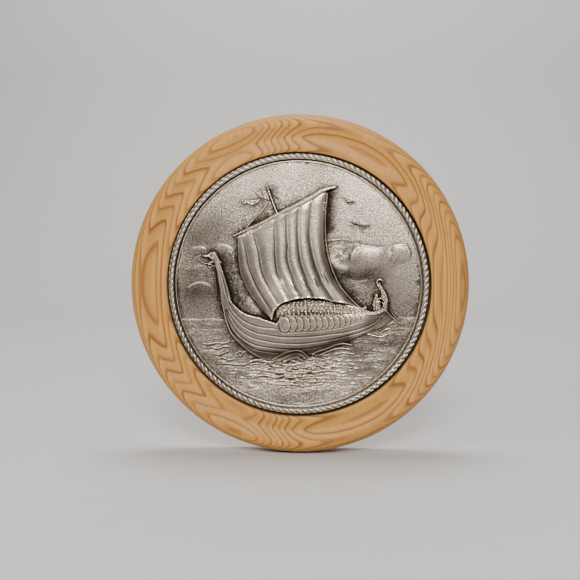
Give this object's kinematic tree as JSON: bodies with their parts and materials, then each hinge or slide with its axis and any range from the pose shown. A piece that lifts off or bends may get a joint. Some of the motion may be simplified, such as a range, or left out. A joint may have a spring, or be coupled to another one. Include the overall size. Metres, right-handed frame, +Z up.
{
  "type": "decorative wall plaque",
  "caption": "Round wall plaque: a cast pewter relief of a longship under sail with a rope border, set in the recess of a turned pine frame.",
  "frame": {"origin": "centre of the flat back, where the plaque meets the wall", "axes": "+X to the right across the face, +Y into the wall (the face looks along -Y), +Z up"},
  "size_m": [0.21, 0.024, 0.21],
  "materials": {
    "pine": "satin lacquer over open pine grain",
    "pewter": "cast pewter, dark patina in the hollows, burnished on the high places"
  },
  "bodies": {
    "root": {"pine_frame": "pine", "pewter_relief": "pewter"}
  },
  "joints": []
}
